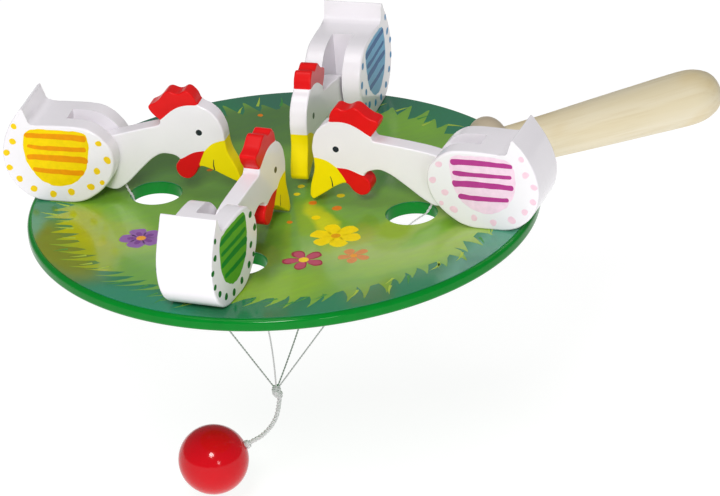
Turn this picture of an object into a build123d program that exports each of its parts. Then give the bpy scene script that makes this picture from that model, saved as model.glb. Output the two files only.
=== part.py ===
from build123d import *
from math import atan2, cos, degrees, pi, radians, sin, sqrt, tan
import os

# Paddle toy with four pecking hens and a swinging ball. Units mm.
# Frame: origin on the handle's axis where the hand grips it, +X along the handle away from the board,
# +Z square to the board's printed face.

# ---- driving dimensions -------------------------------------------------------------------------
BOARD_X = -130.0          # board centre, on the handle's axis
BOARD_R = 90.0
BOARD_T = 5.0             # wood and printed sheet together
PRINT_T = 0.3
PRINT_R = 88.3
RIM_FILLET = 1.6
HOLE_R = 9.25
HOLE_AT = 47.1            # hole centres from the board's centre

HEN_W = 21.0
SLOT_W = 7.6
HEAD_T = 6.3
CORE_FROM = -3.0          # front face of the core, along the hen
BODY_EDGE = 0.9
HEAD_EDGE = 0.6
PIN_R = 1.25
PIN_CLEAR = 0.05
PIN_SEAT = 3.0
SCREW_R = 1.5
SCREW_HEAD_R = 2.9
SCREW_SINK = 1.9
SCREW_DEPTH = 9.0
SCREW_SIDE = 7.1

STRING_D = 0.6
TIE_DEPTH = 4.5
CORD_D = 1.7
KNOT_R = 1.9
HITCH_R = 2.75
KNOT_GAP = 0.06
BALL_R = 12.5
CORD_IN_BALL = 13.0

TOP = BOARD_T / 2
BOTTOM = -BOARD_T / 2

# name, bearing of the hole, radius of the body's middle, side shift, yaw, head turn, pin x, pin z
HENS = [
    ("right", -43.45, 78.0, 2.4, -1.2, 0.3, -18.5, 12.6),
    ("back", 46.55, 78.0, 0.2, 2.4, -4.6, -17.2, 10.0),
    ("left", 136.55, 79.0, 2.2, 1.0, -9.3, -14.9, 11.2),
    ("front", 226.55, 72.0, -3.4, -4.2, 2.4, -17.7, 12.6),
]

# Side view of the body: x outward from the body's middle, z up from the board.
BODY = [
    (-16.5, 27.0), (-12.5, 29.3), (-7.0, 29.8), (1.0, 29.6), (6.5, 29.3), (8.9, 29.8), (9.7, 32.4),
    (11.0, 36.0), (13.0, 33.6), (15.8, 29.6), (18.6, 23.6), (19.8, 17.0), (18.8, 10.6), (15.6, 5.0),
    (10.6, 1.2), (6.5, 0.0), (-6.0, 0.0), (-10.5, 1.3), (-16.0, 5.2), (-20.2, 10.4), (-21.9, 16.5),
    (-20.9, 22.2),
]
# Side view of the head plate, drawn with its pivot at HEAD_PIVOT.
HEAD_PIVOT = (-18.0, 14.0)
HEAD = [
    (-66.6, 3.6), (-67.7, 5.1), (-67.2, 9.0), (-65.2, 15.5), (-65.2, 19.5), (-65.7, 23.5), (-64.6, 28.8),
    (-62.0, 32.3), (-58.4, 34.4), (-58.0, 37.5), (-55.6, 40.7), (-52.2, 38.9), (-48.4, 41.2), (-43.8, 37.0),
    (-39.7, 35.8), (-41.0, 32.6), (-43.4, 29.9), (-42.6, 28.1), (-32.0, 26.9), (-22.6, 25.5), (-17.0, 24.0),
    (-13.5, 20.5), (-12.5, 16.0), (-13.5, 10.5), (-16.5, 6.3), (-21.0, 4.6), (-26.0, 7.4), (-31.6, 11.9),
    (-37.0, 15.8), (-41.1, 17.5), (-45.6, 16.2), (-47.3, 14.4), (-45.0, 12.6), (-44.6, 9.8), (-46.0, 7.4),
    (-48.6, 6.5), (-51.4, 8.0), (-53.6, 11.5), (-58.0, 9.5), (-62.0, 6.6),
]
TIE_AT = (-23.2, 5.9)     # where the string enters the neck's lower end, in the head's drawing

# Handle: distance from the board's centre, radius.
BEAD = [(75.2, 7.8), (76.3, 10.6), (78.4, 12.3), (80.8, 12.8), (83.0, 12.3), (84.6, 11.1), (85.7, 9.3), (86.9, 6.9)]
GRIP = [
    (88.0, 7.5), (104.0, 7.9), (117.0, 8.45), (130.0, 8.95), (142.0, 9.35), (152.0, 9.7), (158.0, 9.75),
    (161.5, 9.4), (164.5, 8.5), (167.5, 6.8), (169.5, 4.0), (170.3, 0.0),
]

# The ball lies out to one side, in the upright plane at this bearing through the board's centre.
SWING_BEARING = -23.1
KNOT = (-8.0, -70.4)      # along that bearing, height
CORD_PATH = [(-7.1, -73.0), (-7.9, -78.3), (-9.4, -82.3), (-12.2, -86.1), (-16.6, -89.5)]
BALL = (-32.1, -95.6)

# Strings: radius and height of each bend between the neck and the knot, and a side shift.
STRINGS = {
    "right": [(52.0, 2.0, 1.8), (40.5, -5.5, 1.2), (18.6, -34.7, -0.6)],
    "back": [(53.5, 0.5, 0.5), (48.0, -9.0, 1.8), (29.0, -38.0, -1.6)],
    "left": [(55.0, 1.5, 2.2), (53.0, -8.5, 2.0), (31.0, -39.0, 1.0)],
    "front": [(46.5, 1.8, -2.6), (38.5, -9.0, -1.2), (21.0, -36.0, -0.6)],
}

os.makedirs("parts", exist_ok=True)


# ---- helpers ------------------------------------------------------------------------------------
def save(shape, name):
    export_step(shape, "parts/" + name + ".step")


def unit(v):
    size = sqrt(sum(c * c for c in v))
    return tuple(c / size for c in v)


def minus(a, b):
    return tuple(p - q for p, q in zip(a, b))


def length(v):
    return sqrt(sum(c * c for c in v))


def bend_radii(points, closed, share, cap):
    count = len(points)
    picked = range(count) if closed else range(1, count - 1)
    radii = []
    for i in picked:
        before = minus(points[i], points[i - 1])
        after = minus(points[(i + 1) % count], points[i])
        run = min(length(before), length(after))
        dot = sum(p * q for p, q in zip(unit(before), unit(after)))
        turn = atan2(sqrt(max(1.0 - dot * dot, 0.0)), dot)
        radii.append(min(cap, share * run / tan(turn / 2)))
    return radii


def outline(points):
    radii = bend_radii(points, True, 0.45, 60.0)
    return make_face(FilletPolyline(*points, radius=radii, close=True))


def side_plate(face, low, thick):
    # A face drawn with x along the hen and y upward, turned upright; it fills low to low + thick sideways.
    return Pos(0, low + thick, 0) * Rot(90, 0, 0) * extrude(face, thick)


def soften(solid, side, amount):
    # Rounds the outline edges that lie in the plane y = side.
    edges = [e for e in solid.edges() if abs((e @ 0).Y - side) < 0.001 and abs((e @ 1).Y - side) < 0.001]
    return fillet(edges, amount)


def round_tube(points, diameter, label):
    radii = bend_radii(points, False, 0.45, 400.0)
    path = FilletPolyline(*points, radius=radii)
    start = Plane(origin=path @ 0, z_dir=path % 0)
    tube = sweep(start * Circle(diameter / 2), path=path)
    print(label, "length", round(path.length, 2), "bend radii", [round(r, 1) for r in radii])
    return tube


def across_y(x, z, low, high, radius):
    return Pos(x, (low + high) / 2, z) * Rot(90, 0, 0) * Cylinder(radius, high - low)


def hen_place(bearing, radius, shift, yaw):
    a = radians(bearing)
    x = BOARD_X + radius * cos(a) - shift * sin(a)
    y = radius * sin(a) + shift * cos(a)
    return Location((x, y, TOP), (0, 0, bearing + yaw))


def swing_point(along, height):
    a = radians(SWING_BEARING)
    return (BOARD_X + along * cos(a), along * sin(a), height)


def screw_spots():
    return [(0.0, SCREW_SIDE), (0.0, -SCREW_SIDE)]


# ---- board, print, handle -----------------------------------------------------------------------
holes = []
for name, bearing, *rest in HENS:
    a = radians(bearing)
    spot = Pos(BOARD_X + HOLE_AT * cos(a), HOLE_AT * sin(a), 0)
    holes.append(spot * Cylinder(HOLE_R, BOARD_T * 3))

shanks = []
sinks = []
screws = []
for name, bearing, radius, shift, yaw, *rest in HENS:
    place = hen_place(bearing, radius, shift, yaw)
    for x, y in screw_spots():
        low = BOTTOM - TOP
        shank_len = BOARD_T + SCREW_DEPTH
        shank = Pos(x, y, low + shank_len / 2) * Cylinder(SCREW_R, shank_len)
        sink = Pos(x, y, low + SCREW_SINK / 2) * Cone(SCREW_HEAD_R, SCREW_R, SCREW_SINK)
        cross = Pos(x, y, low + 0.5) * (Box(3.0, 0.7, 1.0) + Box(0.7, 3.0, 1.0))
        shanks.append(place * shank)
        sinks.append(place * sink)
        screws.append(place * (shank + sink - cross))

wood_t = BOARD_T - PRINT_T
board = Pos(BOARD_X, 0, BOTTOM + wood_t / 2) * Cylinder(BOARD_R, wood_t)
rims = [e for e in board.edges() if e.geom_type == GeomType.CIRCLE]
board = fillet(rims, RIM_FILLET)
for cut in holes + shanks + sinks:
    board = board - cut
save(board, "board")

sheet = Pos(BOARD_X, 0, TOP - PRINT_T / 2) * Cylinder(PRINT_R, PRINT_T)
for cut in holes + shanks:
    sheet = sheet - cut
save(sheet, "print_sheet")

bead = [(BOARD_X + s, r) for s, r in BEAD]
grip = [(BOARD_X + s, r) for s, r in GRIP]
profile = Line((bead[0][0], 0), bead[0])
profile = profile + Spline(*bead)
profile = profile + Line(bead[-1], grip[0])
profile = profile + Spline(*grip, tangents=[(1, 0.02), (0, -1)])
profile = profile + Line(grip[-1], (bead[0][0], 0))
handle = revolve(make_face(profile), Axis.X)
handle = handle - Pos(BOARD_X, 0, 0) * Cylinder(BOARD_R, BOARD_T)
save(handle, "handle")
save(Compound(children=screws), "hen_screws")

# ---- hens ---------------------------------------------------------------------------------------
body_face = outline(BODY)
core_face = body_face & Pos(CORE_FROM + 50, 0) * Rectangle(100, 200)
head_face = outline(HEAD)
half = HEN_W / 2
slot = SLOT_W / 2
cheek_t = half - slot

for name, bearing, radius, shift, yaw, turn, pin_x, pin_z in HENS:
    place = hen_place(bearing, radius, shift, yaw)
    seat = slot + PIN_SEAT
    cheeks = {
        "cheek_a": soften(side_plate(body_face, slot, cheek_t), half, BODY_EDGE),
        "cheek_b": soften(side_plate(body_face, -half, cheek_t), -half, BODY_EDGE),
    }
    for label, cheek in cheeks.items():
        cheek = cheek - across_y(pin_x, pin_z, -seat, seat, PIN_R)
        cheek = place * cheek
        for cut in shanks:
            cheek = cheek - cut
        save(cheek, name + "_" + label)
    save(place * side_plate(core_face, -slot, SLOT_W), name + "_core")
    save(place * across_y(pin_x, pin_z, -seat, seat, PIN_R), name + "_pin")

    plate = side_plate(head_face, -HEAD_T / 2, HEAD_T)
    plate = soften(plate, HEAD_T / 2, HEAD_EDGE)
    plate = soften(plate, -HEAD_T / 2, HEAD_EDGE)
    plate = Pos(-HEAD_PIVOT[0], 0, -HEAD_PIVOT[1]) * plate
    plate = plate - across_y(0, 0, -HEAD_T, HEAD_T, PIN_R + PIN_CLEAR)
    tie_x = TIE_AT[0] - HEAD_PIVOT[0]
    tie_z = TIE_AT[1] - HEAD_PIVOT[1]
    # The tie: the string's end glued up a hole in the neck, with a knot below it.
    tie_mid = tie_z + TIE_DEPTH / 2
    tie = Pos(tie_x, 0, tie_mid - 0.5) * Cylinder(STRING_D / 2, TIE_DEPTH + 1.0)
    plate = plate - tie
    tie = tie + Pos(tie_x, 0, tie_z - 1.25) * Sphere(0.75)
    turned = place * Pos(pin_x, 0, pin_z) * Rot(0, -turn, 0)
    save(turned * plate, name + "_head")
    save(turned * tie, name + "_tie")

# ---- strings, knot, cord, ball ------------------------------------------------------------------
knot_at = swing_point(*KNOT)
for name, bearing, *rest in HENS:
    a = radians(bearing)
    points = []
    for radius, height, side in STRINGS[name]:
        x = BOARD_X + radius * cos(a) - side * sin(a)
        y = radius * sin(a) + side * cos(a)
        points.append((x, y, height))
    toward = unit(minus(points[-1], knot_at))
    reach = HITCH_R + 0.9
    points.append(tuple(k + reach * t for k, t in zip(knot_at, toward)))
    save(round_tube(points, STRING_D, name + " string"), name + "_string")

save(Pos(*knot_at) * Sphere(KNOT_R), "gather_knot")

cord_points = [swing_point(*p) for p in CORD_PATH]
ball_at = swing_point(*BALL)
entry = unit(minus(cord_points[-1], ball_at))
cord_points.append(tuple(b + (BALL_R - CORD_IN_BALL) * e for b, e in zip(ball_at, entry)))
first = unit(minus(cord_points[0], knot_at))
cord_points[0] = tuple(k + (HITCH_R + KNOT_GAP) * f for k, f in zip(knot_at, first))

down = Plane(origin=knot_at, z_dir=first)
shell = Sphere(HITCH_R) - Sphere(KNOT_R + KNOT_GAP)
shell = shell & Pos(0, 0, 1.0 + HITCH_R / 2) * Cylinder(HITCH_R * 2, HITCH_R)
save(down * shell, "cord_hitch")

tube = round_tube(cord_points, CORD_D, "pull cord")
tube = tube - Pos(*knot_at) * Sphere(HITCH_R + KNOT_GAP)
save(tube, "pull_cord")

ball = Pos(*ball_at) * Sphere(BALL_R)
mouth = Plane(origin=ball_at, z_dir=entry)
bore_len = CORD_IN_BALL + 2.0
bore = mouth * Pos(0, 0, BALL_R - CORD_IN_BALL + bore_len / 2) * Cylinder(CORD_D / 2, bore_len)
ball = ball - bore
save(ball, "ball")

collar = mouth * Pos(0, 0, BALL_R + 0.15) * Cylinder(CORD_D / 2 + 0.75, 1.1)
collar = collar - bore - tube - Pos(*ball_at) * Sphere(BALL_R)
save(collar, "ball_collar")
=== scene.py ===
import math
import random

import bmesh
import bpy
from mathutils import Matrix, Vector, noise


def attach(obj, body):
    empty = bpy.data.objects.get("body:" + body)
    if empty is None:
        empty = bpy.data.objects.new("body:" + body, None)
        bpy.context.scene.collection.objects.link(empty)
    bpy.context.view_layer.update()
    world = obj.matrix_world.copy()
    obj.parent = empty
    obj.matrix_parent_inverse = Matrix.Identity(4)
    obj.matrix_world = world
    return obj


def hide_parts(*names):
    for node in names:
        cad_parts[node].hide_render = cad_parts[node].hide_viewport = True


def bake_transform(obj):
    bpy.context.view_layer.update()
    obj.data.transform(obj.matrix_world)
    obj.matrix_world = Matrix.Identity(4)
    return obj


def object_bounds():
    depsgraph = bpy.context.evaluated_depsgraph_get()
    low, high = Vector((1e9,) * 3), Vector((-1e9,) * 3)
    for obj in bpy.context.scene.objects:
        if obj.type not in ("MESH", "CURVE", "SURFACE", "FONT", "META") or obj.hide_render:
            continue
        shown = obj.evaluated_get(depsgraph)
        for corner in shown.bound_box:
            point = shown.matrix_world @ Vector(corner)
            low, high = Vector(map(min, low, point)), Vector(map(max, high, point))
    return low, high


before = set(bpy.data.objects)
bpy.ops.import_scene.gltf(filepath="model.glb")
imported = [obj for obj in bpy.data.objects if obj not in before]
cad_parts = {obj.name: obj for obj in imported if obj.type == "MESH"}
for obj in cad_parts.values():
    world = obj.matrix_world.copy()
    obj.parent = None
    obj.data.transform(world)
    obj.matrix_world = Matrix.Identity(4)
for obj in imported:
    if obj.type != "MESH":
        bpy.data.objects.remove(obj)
CAD_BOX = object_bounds()

MM = 0.001
BOARD_X = -130.0
BOARD_R = 90.0
TOP = 2.5
BOTTOM = -2.5
PRINT_T = 0.3
PRINT_R = 88.3
HOLE_R = 9.25
HOLE_AT = 47.1
HEN_W = 21.0
SLOT_W = 7.6
CORE_FROM = -3.0
HEAD_T = 6.3
BALL_R = 12.5
SWING_BEARING = math.radians(-23.1)
ROOT = "board_and_hens"

# name: bearing, radius, shift, yaw, head turn, pin x, pin z, as in the CAD model
HENS = {
    "right": (-43.45, 78.0, 2.4, -1.2, 0.3, -18.5, 12.6),
    "back": (46.55, 78.0, 0.2, 2.4, -4.6, -17.2, 10.0),
    "left": (136.55, 79.0, 2.2, 1.0, -9.3, -14.9, 11.2),
    "front": (226.55, 72.0, -3.4, -4.2, 2.4, -17.7, 12.6),
}
BODY = [
    (-16.5, 27.0), (-12.5, 29.3), (-7.0, 29.8), (1.0, 29.6), (6.5, 29.3), (8.9, 29.8), (9.7, 32.4),
    (11.0, 36.0), (13.0, 33.6), (15.8, 29.6), (18.6, 23.6), (19.8, 17.0), (18.8, 10.6), (15.6, 5.0),
    (10.6, 1.2), (6.5, 0.0), (-6.0, 0.0), (-10.5, 1.3), (-16.0, 5.2), (-20.2, 10.4), (-21.9, 16.5),
    (-20.9, 22.2),
]
TAIL_TIP = [(11.0, 35.5), (9.2, 30.4)]
HEAD_PIVOT = (-18.0, 14.0)
HEAD = [
    (-66.6, 3.6), (-67.7, 5.1), (-67.2, 9.0), (-65.2, 15.5), (-65.2, 19.5), (-65.7, 23.5), (-64.6, 28.8),
    (-62.0, 32.3), (-58.4, 34.4), (-58.0, 37.5), (-55.6, 40.7), (-52.2, 38.9), (-48.4, 41.2), (-43.8, 37.0),
    (-39.7, 35.8), (-41.0, 32.6), (-43.4, 29.9), (-42.6, 28.1), (-32.0, 26.9), (-22.6, 25.5), (-17.0, 24.0),
    (-13.5, 20.5), (-12.5, 16.0), (-13.5, 10.5), (-16.5, 6.3), (-21.0, 4.6), (-26.0, 7.4), (-31.6, 11.9),
    (-37.0, 15.8), (-41.1, 17.5), (-45.6, 16.2), (-47.3, 14.4), (-45.0, 12.6), (-44.6, 9.8), (-46.0, 7.4),
    (-48.6, 6.5), (-51.4, 8.0), (-53.6, 11.5), (-58.0, 9.5), (-62.0, 6.6),
]
EYE = (-56.6, 24.0)
# Lines between the painted areas of a head, each from outline to outline or to another line.
COMB_LINE = [(-58.4, 34.4), (-53.7, 34.7), (-49.3, 33.6), (-43.6, 30.1)]
BEAK_LINE = [(-65.2, 20.3), (-61.5, 19.6), (-59.3, 18.6), (-56.9, 16.8)]
CHIN_LINE = [(-56.9, 16.8), (-54.8, 13.6), (-53.6, 11.5)]
WATTLE_LINE = [(-56.9, 16.8), (-52.6, 16.5), (-47.3, 14.4)]
MOUTH = [(-59.5, 13.2), (-59.0, 11.2), (-58.9, 9.3)]

HANDLE_BEAD = [(75.2, 0.0), (75.2, 7.8), (76.3, 10.6), (78.4, 12.3), (80.8, 12.8), (83.0, 12.3),
               (84.6, 11.1), (85.7, 9.3), (86.9, 6.9)]
HANDLE_GRIP = [(86.9, 6.9), (88.0, 7.5), (104.0, 7.9), (117.0, 8.45), (130.0, 8.95), (142.0, 9.35),
               (152.0, 9.7), (158.0, 9.75), (161.5, 9.4), (164.5, 8.5), (167.5, 6.8), (169.5, 4.0),
               (170.3, 0.0)]

STRINGS = {
    "right": [(52.0, 2.0, 1.8), (40.5, -5.5, 1.2), (18.6, -34.7, -0.6)],
    "back": [(53.5, 0.5, 0.5), (48.0, -9.0, 1.8), (29.0, -38.0, -1.6)],
    "left": [(55.0, 1.5, 2.2), (53.0, -8.5, 2.0), (31.0, -39.0, 1.0)],
    "front": [(46.5, 1.8, -2.6), (38.5, -9.0, -1.2), (21.0, -36.0, -0.6)],
}
TIE_AT = (-23.2, 5.9)
KNOT = (-8.0, -70.4)
CORD_PATH = [(-7.1, -73.0), (-7.9, -78.3), (-9.4, -82.3), (-12.2, -86.1), (-16.6, -89.5)]
BALL = (-32.1, -95.6)
CORD_IN_BALL = 13.0
HITCH_R = 2.75

RIM_SIDES = 288
HOLE_SIDES = 72
SUNK = 0.1  # how far a printed area reaches into the surface that it lies on
KNOT_CLEAR = 0.9  # from the hitch's radius to the end of a string's route
CORD_CLEAR = 0.06  # the same for the pull cord
CORE_TOP = 29.7
EYE_R = 1.15
TIE_ABOVE, TIE_BELOW = 2.0, 1.25  # how far a tie runs each way from its hole in the neck
TIE_BEND = 0.6
TIP_PLAIN, TIP_FADE = 1.6, 3.5  # rounding stops this near a sharp tip, and comes in over this much more
BEVEL_STEPS = 3

# Middles of the printed flowers, from the board's centre.
VIOLET_AT = (-53.6, 2.9)
ROSE_AT = (-13.1, -44.3)
SUN_AT = (4.3, -33.6)
PEACH_AT = (2.9, -51.1)


# ---- small helpers ------------------------------------------------------------------------------
def srgb(r, g, b):
    def one(c):
        c /= 255
        return c / 12.92 if c <= 0.04045 else ((c + 0.055) / 1.055) ** 2.4
    return (one(r), one(g), one(b), 1.0)


def swing_point(along, height):
    return Vector((BOARD_X + along * math.cos(SWING_BEARING), along * math.sin(SWING_BEARING), height))


def hen_place(name):
    bearing, radius, shift, yaw = HENS[name][:4]
    a = math.radians(bearing)
    x = BOARD_X + radius * math.cos(a) - shift * math.sin(a)
    y = radius * math.sin(a) + shift * math.cos(a)
    return Matrix.Translation((x, y, TOP)) @ Matrix.Rotation(math.radians(bearing + yaw), 4, "Z")


def head_place(name):
    turn, pin_x, pin_z = HENS[name][4:]
    return (hen_place(name) @ Matrix.Translation((pin_x, 0, pin_z))
            @ Matrix.Rotation(math.radians(-turn), 4, "Y")
            @ Matrix.Translation((-HEAD_PIVOT[0], 0, -HEAD_PIVOT[1])))


def hole_centre(name):
    a = math.radians(HENS[name][0])
    return (BOARD_X + HOLE_AT * math.cos(a), HOLE_AT * math.sin(a))


def smooth_loop(points, share=0.45, steps=6):
    """A closed outline through the middle of each run, each corner a short curve."""
    out = []
    count = len(points)
    for i in range(count):
        here = Vector(points[i])
        before = Vector(points[i - 1]) - here
        after = Vector(points[(i + 1) % count]) - here
        run = min(before.length, after.length) * share
        start = here + before.normalized() * run
        end = here + after.normalized() * run
        for s in range(steps + 1):
            t = s / steps
            out.append(start * (1 - t) ** 2 + here * 2 * t * (1 - t) + end * t ** 2)
    return out


def smooth_line(points, steps=5):
    """An open line through all the points, as a Catmull-Rom curve."""
    pts = [Vector(p) for p in points]
    ext = [2 * pts[0] - pts[1]] + pts + [2 * pts[-1] - pts[-2]]
    out = []
    for i in range(1, len(ext) - 2):
        p0, p1, p2, p3 = ext[i - 1], ext[i], ext[i + 1], ext[i + 2]
        for s in range(steps):
            t = s / steps
            out.append(0.5 * (2 * p1 + (p2 - p0) * t + (2 * p0 - 5 * p1 + 4 * p2 - p3) * t ** 2
                              + (3 * p1 - p0 - 3 * p2 + p3) * t ** 3))
    return out + [pts[-1]]


def new_object(name, mesh):
    made = bpy.data.objects.new(name, mesh)
    bpy.context.scene.collection.objects.link(made)
    return made


def evaluated(obj):
    """Swaps an object's mesh for what its modifiers make of it."""
    graph = bpy.context.evaluated_depsgraph_get()
    mesh = bpy.data.meshes.new_from_object(obj.evaluated_get(graph))
    obj.modifiers.clear()
    old = obj.data
    obj.data = mesh
    bpy.data.meshes.remove(old)
    return obj


def finish_edges(obj, width, angle=48):
    """Rounds the weighted edges, keeps the flats flat, and leaves real mesh behind."""
    if width:
        bevel = obj.modifiers.new("bevel", "BEVEL")
        bevel.width = width * MM
        bevel.segments = BEVEL_STEPS
        bevel.limit_method = "WEIGHT"
        bevel.use_clamp_overlap = False
        evaluated(obj)
    for p in obj.data.polygons:
        p.use_smooth = True
    obj.data.set_sharp_from_angle(angle=math.radians(angle))
    normals = obj.modifiers.new("normals", "WEIGHTED_NORMAL")
    normals.keep_sharp = True
    normals.weight = 80
    return evaluated(obj)


def dress(obj, materials, body, slot, *nodes):
    for m in materials:
        obj.data.materials.append(m)
    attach(obj, body)
    if nodes:
        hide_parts(*nodes)
    return obj


# ---- materials ----------------------------------------------------------------------------------
class Nodes:
    """A short way to write a node tree."""

    def __init__(self, name):
        self.material = bpy.data.materials.new(name)
        self.material.use_nodes = True
        self.tree = self.material.node_tree
        self.tree.nodes.clear()
        self.out = self.add("ShaderNodeOutputMaterial")
        self.shader = self.add("ShaderNodeBsdfPrincipled")
        self.link(self.shader.outputs[0], self.out.inputs[0])

    def add(self, kind, **settings):
        node = self.tree.nodes.new(kind)
        for key, value in settings.items():
            setattr(node, key, value)
        return node

    def link(self, a, b):
        self.tree.links.new(a, b)

    def feed(self, value, socket):
        if hasattr(value, "links"):
            self.link(value, socket)
        else:
            socket.default_value = value

    def place(self):
        if not hasattr(self, "_place"):
            self._place = self.add("ShaderNodeTexCoord").outputs["Object"]
        return self._place

    def scaled(self, scale, offset=(0, 0, 0)):
        node = self.add("ShaderNodeMapping")
        self.link(self.place(), node.inputs["Vector"])
        node.inputs["Scale"].default_value = scale if hasattr(scale, "__len__") else (scale,) * 3
        node.inputs["Location"].default_value = offset
        return node.outputs[0]

    def noise(self, scale, detail=3.0, rough=0.5, offset=(0, 0, 0)):
        node = self.add("ShaderNodeTexNoise")
        self.link(self.scaled(scale, offset), node.inputs["Vector"])
        node.inputs["Scale"].default_value = 1.0
        node.inputs["Detail"].default_value = detail
        node.inputs["Roughness"].default_value = rough
        return node.outputs["Fac"]

    def math(self, op, a, b):
        node = self.add("ShaderNodeMath", operation=op)
        self.feed(a, node.inputs[0])
        self.feed(b, node.inputs[1])
        return node.outputs[0]

    def ramp(self, value, low, high, to_low=0.0, to_high=1.0, smooth=True):
        node = self.add("ShaderNodeMapRange", interpolation_type="SMOOTHSTEP" if smooth else "LINEAR")
        self.feed(value, node.inputs["Value"])
        node.inputs["From Min"].default_value = low
        node.inputs["From Max"].default_value = high
        node.inputs["To Min"].default_value = to_low
        node.inputs["To Max"].default_value = to_high
        return node.outputs[0]

    def mix(self, factor, a, b, mode="MIX"):
        node = self.add("ShaderNodeMix", data_type="RGBA", blend_type=mode)
        self.feed(factor, node.inputs[0])
        self.feed(a, node.inputs[6])
        self.feed(b, node.inputs[7])
        return node.outputs[2]

    def bump(self, height, distance, strength=1.0):
        node = self.add("ShaderNodeBump")
        self.feed(height, node.inputs["Height"])
        node.inputs["Distance"].default_value = distance
        node.inputs["Strength"].default_value = strength
        self.link(node.outputs[0], self.shader.inputs["Normal"])

    def set(self, **sockets):
        for key, value in sockets.items():
            self.feed(value, self.shader.inputs[key.replace("_", " ")])


def gloss_paint(name, colour, darker=0.94, rough=0.28, coat=0.2, ripple=0.00002, level=0.35):
    """Brushed enamel on wood: slight colour drift, a clear gloss, a faint uneven skin."""
    n = Nodes(name)
    shade = tuple(c * darker for c in colour[:3]) + (1.0,)
    drift = n.ramp(n.noise(90, 3, 0.6), 0.35, 0.65)
    grain = n.noise((60, 420, 420), 2, 0.5, (3, 1, 2))
    skin = n.math("ADD", n.math("MULTIPLY", n.noise(260, 2), 0.7), n.math("MULTIPLY", grain, 0.3))
    n.bump(skin, ripple, 0.8)
    n.set(Base_Color=n.mix(drift, shade, colour), Roughness=rough, Specular_IOR_Level=level, Coat_Weight=coat,
          Coat_Roughness=0.08)
    return n.material


def wood(name):
    """Pale turned birch: fine grain along the handle, a few warm patches, and a greyer bead."""
    n = Nodes(name)
    grain = n.noise((26, 900, 900), 4, 0.6)
    bands = n.noise((10, 130, 130), 3, 0.5, (0, 5, 1))
    warm = n.ramp(n.noise((34, 60, 60), 2, 0.5, (7, 2, 0)), 0.5, 0.72)
    base = n.mix(n.ramp(bands, 0.3, 0.7), srgb(232, 222, 196), srgb(225, 212, 178))
    base = n.mix(n.math("MULTIPLY", n.ramp(grain, 0.45, 0.75), 0.3), base, srgb(208, 188, 142))
    base = n.mix(n.math("MULTIPLY", warm, 0.5), base, srgb(216, 190, 128))
    along = n.add("ShaderNodeSeparateXYZ")
    n.link(n.place(), along.inputs[0])
    # The bead is greyer than the grip.
    bead = n.ramp(along.outputs["X"], (BOARD_X + 87.6) * MM, (BOARD_X + 86.4) * MM)
    base = n.mix(n.math("MULTIPLY", bead, 0.65), base, srgb(176, 158, 136))
    n.bump(grain, 0.00005, 0.5)
    n.set(Base_Color=base, Roughness=n.ramp(grain, 0.2, 0.8, 0.42, 0.6, False), Coat_Weight=0.12,
          Coat_Roughness=0.3)
    return n.material


def cotton(name, colour=(0.82, 0.82, 0.82, 1.0), scale=5200):
    n = Nodes(name)
    fibre = n.noise(scale, 3, 0.6)
    n.bump(fibre, 0.00006, 0.9)
    shade = tuple(c * 0.72 for c in colour[:3]) + (1.0,)
    n.set(Base_Color=n.mix(n.ramp(fibre, 0.3, 0.7), shade, colour), Roughness=0.85, Sheen_Weight=0.3)
    return n.material


def steel(name):
    n = Nodes(name)
    n.bump(n.noise((300, 300, 4000), 2), 0.00002, 0.6)
    n.set(Base_Color=(0.55, 0.55, 0.56, 1.0), Metallic=1.0, Roughness=n.ramp(n.noise(700), 0.3, 0.7, 0.25, 0.4))
    return n.material


def print_material(name, base, blots, mottle):
    """A painted scene printed on the board: soft blots of colour with brushy edges. Some blots are painted
    reflections of the hens and painted shade beside them.
    A blot is x, y from the board's centre in mm, its half sizes, its turn, its colour and strength."""
    n = Nodes(name)
    warp = n.add("ShaderNodeTexNoise")
    n.link(n.scaled(38, (0, 0, 4)), warp.inputs["Vector"])
    warp.inputs["Scale"].default_value = 1.0
    warp.inputs["Detail"].default_value = 3.0
    push = n.add("ShaderNodeVectorMath", operation="MULTIPLY_ADD")
    n.link(warp.outputs["Color"], push.inputs[0])
    push.inputs[1].default_value = (0.014, 0.014, 0.0)
    push.inputs[2].default_value = (-0.007, -0.007, 0.0)
    moved = n.add("ShaderNodeVectorMath", operation="ADD")
    n.link(n.place(), moved.inputs[0])
    n.link(push.outputs[0], moved.inputs[1])
    colour = base
    for x, y, half_x, half_y, turn, shade, strength in blots:
        spot = n.add("ShaderNodeMapping", vector_type="TEXTURE")
        n.link(moved.outputs[0], spot.inputs["Vector"])
        spot.inputs["Location"].default_value = ((BOARD_X + x) * MM, y * MM, TOP * MM)
        spot.inputs["Rotation"].default_value = (0, 0, math.radians(turn))
        spot.inputs["Scale"].default_value = (half_x * MM, half_y * MM, 1.0)
        reach = n.add("ShaderNodeVectorMath", operation="LENGTH")
        n.link(spot.outputs[0], reach.inputs[0])
        inside = n.ramp(reach.outputs["Value"], 1.25, 0.55, 0.0, strength)
        colour = n.mix(inside, colour, srgb(*shade))
    strokes = n.noise((120, 420, 1), 4, 0.6, (2, 2, 0))
    cover = n.math("MULTIPLY", n.ramp(strokes, 0.35, 0.75), mottle)
    colour = n.mix(cover, colour, srgb(206, 214, 96), "OVERLAY")
    n.bump(n.noise(240, 2), 0.00002, 0.6)
    n.set(Base_Color=colour, Roughness=0.16, Specular_IOR_Level=0.4, Coat_Weight=0.15, Coat_Roughness=0.06)
    return n.material


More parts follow.
